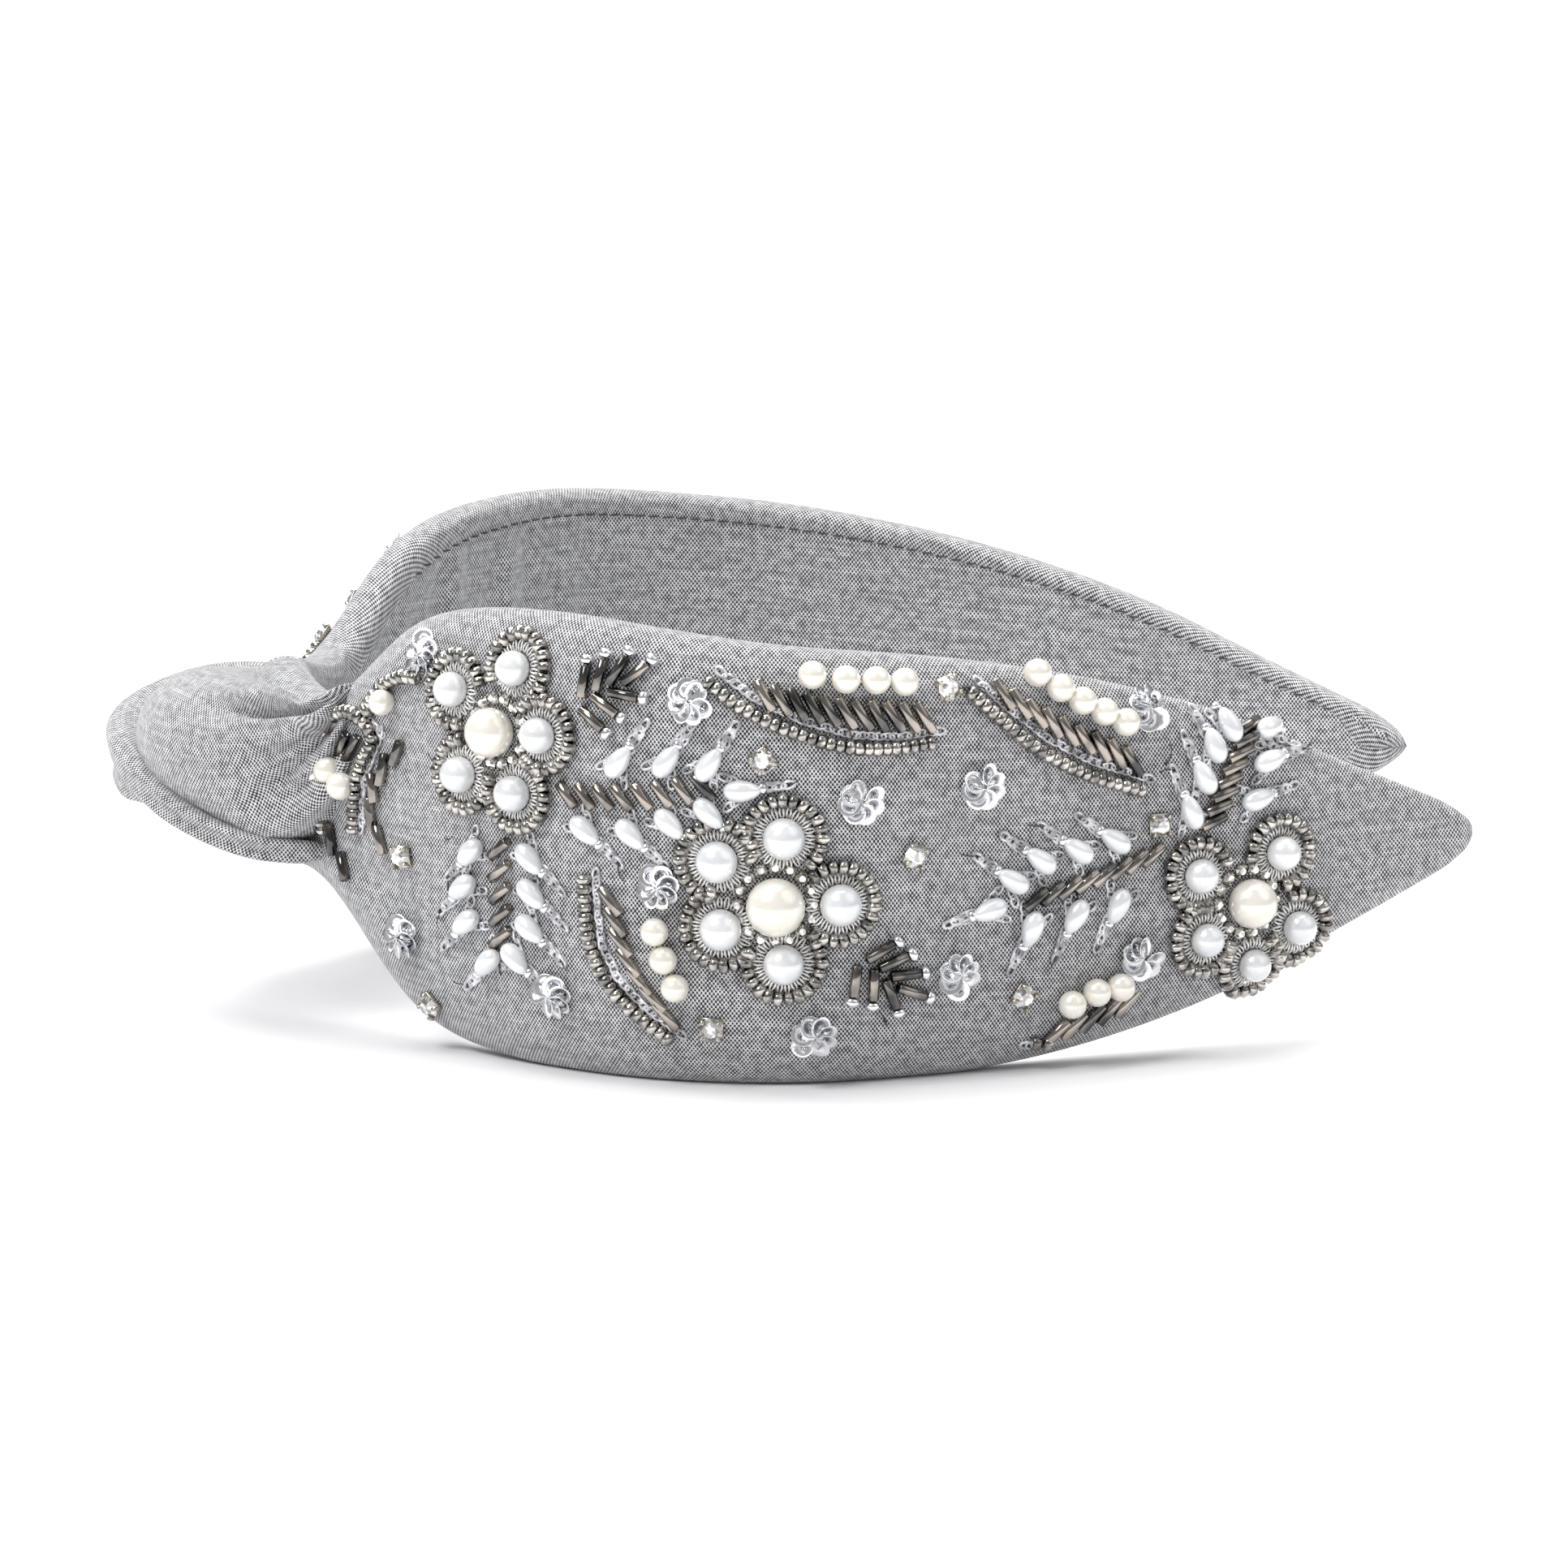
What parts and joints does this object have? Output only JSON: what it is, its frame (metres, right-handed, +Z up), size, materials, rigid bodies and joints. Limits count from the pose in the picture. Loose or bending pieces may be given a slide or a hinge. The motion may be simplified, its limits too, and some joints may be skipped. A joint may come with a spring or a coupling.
{
  "type": "headband",
  "caption": "Knotted, padded fabric headband with a spring core, a lining, and pearl flowers, beads and rhinestones sewn to the outside of both arms.",
  "frame": {"origin": "centre of the bounding box's bottom face, on the surface that the headband lies on", "axes": "+X from the knot at the crown to the two tips; +Z up, along the band's width as it lies on its side; the near arm is on the -Y side and the far arm on the +Y side"},
  "size_m": [0.1658, 0.138, 0.0547],
  "materials": {
    "chambray": "grey chambray, a plain weave of light warp over dark weft, matt",
    "lining_cloth": "the same grey chambray, unpadded",
    "foam": "off-white open-cell foam",
    "spring_plastic": "black moulded plastic, springy",
    "ivory_pearl": "warm ivory pearl lacquer, glossy",
    "white_pearl": "cool white pearl lacquer, glossy",
    "crystal": "clear faceted stone with a foil back, in a bright claw setting",
    "seed_bead": "antique silver plated glass beads",
    "bugle_bead": "dark gunmetal lustre on faceted glass tubes",
    "sequin": "silver cupped sequins",
    "silver_thread": "metallic silver thread and purl wire"
  },
  "bodies": {
    "crown": {"spring_core": "spring_plastic", "lining": "lining_cloth", "knot_upper_loop": "chambray", "knot_lower_fold": "chambray"},
    "near_arm": {"outer_cover_near": "chambray", "foam_pad_near": "foam", "crown_flower_centre_near": "ivory_pearl", "crown_flower_petal_1_near": "white_pearl", "crown_flower_petal_2_near": "white_pearl", "crown_flower_petal_3_near": "white_pearl", "crown_flower_petal_4_near": "white_pearl", "crown_flower_petal_5_near": "white_pearl", "middle_flower_centre_near": "ivory_pearl", "middle_flower_petal_1_near": "white_pearl", "middle_flower_petal_2_near": "white_pearl", "middle_flower_petal_3_near": "white_pearl", "middle_flower_petal_4_near": "white_pearl", "middle_flower_petal_5_near": "white_pearl", "tip_flower_centre_near": "ivory_pearl", "tip_flower_petal_1_near": "white_pearl", "tip_flower_petal_2_near": "white_pearl", "tip_flower_petal_3_near": "white_pearl", "tip_flower_petal_4_near": "white_pearl", "tip_flower_petal_5_near": "white_pearl", "rhinestone_1_near": "crystal", "rhinestone_2_near": "crystal", "rhinestone_3_near": "crystal", "rhinestone_4_near": "crystal", "rhinestone_5_near": "crystal", "rhinestone_6_near": "crystal", "rhinestone_7_near": "crystal", "rhinestone_8_near": "crystal"},
    "far_arm": {"outer_cover_far": "chambray", "foam_pad_far": "foam", "crown_flower_centre_far": "ivory_pearl", "crown_flower_petal_1_far": "white_pearl", "crown_flower_petal_2_far": "white_pearl", "crown_flower_petal_3_far": "white_pearl", "crown_flower_petal_4_far": "white_pearl", "crown_flower_petal_5_far": "white_pearl", "middle_flower_centre_far": "ivory_pearl", "middle_flower_petal_1_far": "white_pearl", "middle_flower_petal_2_far": "white_pearl", "middle_flower_petal_3_far": "white_pearl", "middle_flower_petal_4_far": "white_pearl", "middle_flower_petal_5_far": "white_pearl", "tip_flower_centre_far": "ivory_pearl", "tip_flower_petal_1_far": "white_pearl", "tip_flower_petal_2_far": "white_pearl", "tip_flower_petal_3_far": "white_pearl", "tip_flower_petal_4_far": "white_pearl", "tip_flower_petal_5_far": "white_pearl", "rhinestone_1_far": "crystal", "rhinestone_2_far": "crystal", "rhinestone_3_far": "crystal", "rhinestone_4_far": "crystal", "rhinestone_5_far": "crystal", "rhinestone_6_far": "crystal", "rhinestone_7_far": "crystal", "rhinestone_8_far": "crystal"}
  },
  "joints": [
    {"name": "near_arm_spread", "type": "hinge", "parent": "crown", "child": "near_arm", "pos_m": [-0.0533, -0.01845, 0.0273], "axis": [0, 0, -1], "range_deg": [-3, 12], "stiffness_Nm_per_rad": 0.6, "deforming": ["spring_core", "lining"]},
    {"name": "far_arm_spread", "type": "hinge", "parent": "crown", "child": "far_arm", "pos_m": [-0.0533, 0.01845, 0.0273], "axis": [0, 0, 1], "range_deg": [-3, 12], "stiffness_Nm_per_rad": 0.6, "deforming": ["spring_core", "lining"]}
  ]
}
